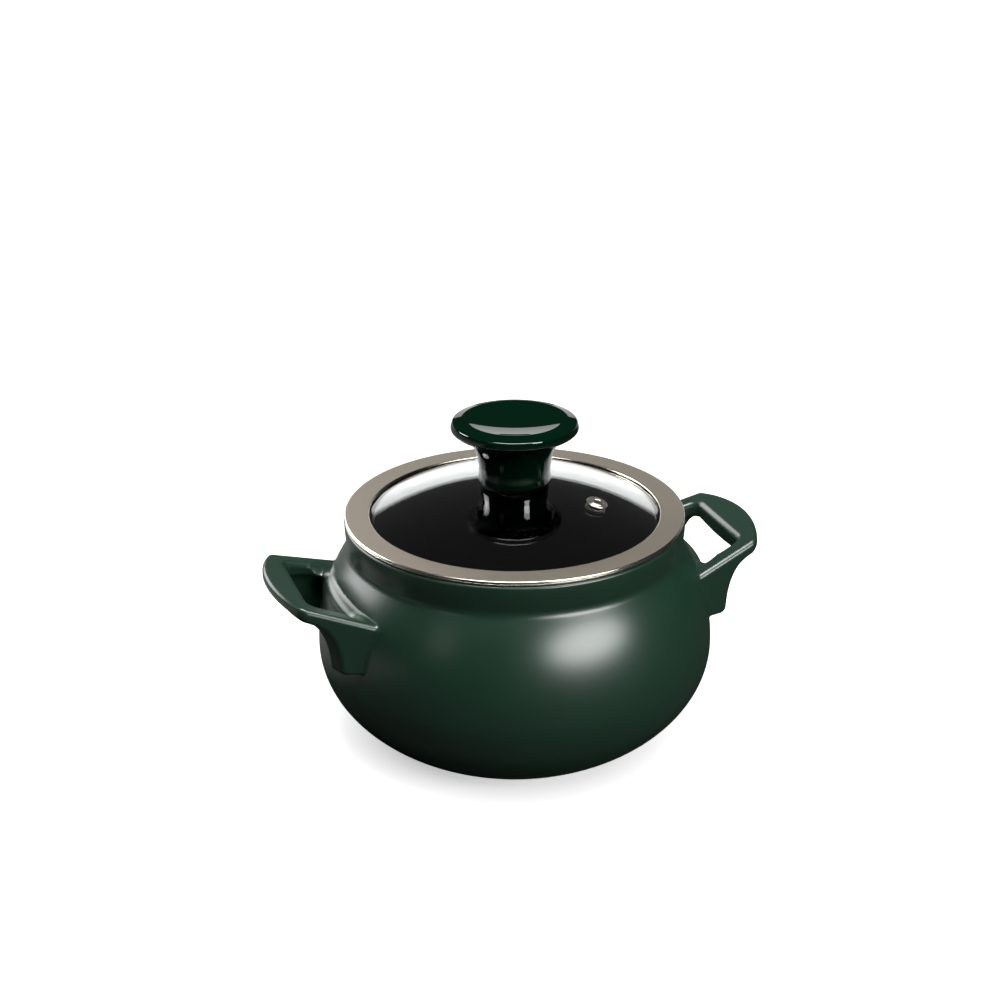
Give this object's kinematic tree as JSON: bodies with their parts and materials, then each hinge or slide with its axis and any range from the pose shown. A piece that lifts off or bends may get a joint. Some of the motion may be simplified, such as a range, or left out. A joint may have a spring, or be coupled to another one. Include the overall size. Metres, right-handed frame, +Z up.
{
  "type": "ceramic cooking pot",
  "caption": "Round-bellied ceramic cooking pot with loop handles, a domed glass lid in a steel band, a steam vent and a mushroom knob.",
  "frame": {"origin": "on the table, under the middle of the pot's foot ring", "axes": "+Z up along the pot's axis, +X through the right handle, -Y towards the side that the picture shows"},
  "size_m": [0.259, 0.203, 0.1711],
  "materials": {
    "matt_glaze": "satin dark green glaze outside, black glaze inside",
    "gloss_glaze": "gloss dark green glaze",
    "tempered_glass": "clear, polished",
    "steel_band": "turned stainless steel, warm grey",
    "bright_steel": "pressed and polished stainless steel",
    "silicone": "moulded black silicone",
    "brass": "turned brass"
  },
  "bodies": {
    "pot": {"pot_body": "matt_glaze", "right_handle": "matt_glaze", "left_handle": "matt_glaze"},
    "lid": {"lid_glass": "tempered_glass", "lid_rim_band": "steel_band", "vent_eyelet": "bright_steel", "vent_washer": "bright_steel", "knob": "gloss_glaze", "knob_insert": "brass", "knob_seal": "silicone", "lower_seal": "silicone", "screw_washer": "bright_steel", "knob_screw": "bright_steel"}
  },
  "joints": [
    {"name": "lid_lift", "type": "slide", "parent": "pot", "child": "lid", "axis": [0, 0, 1], "range_m": [0, 0.12]}
  ]
}
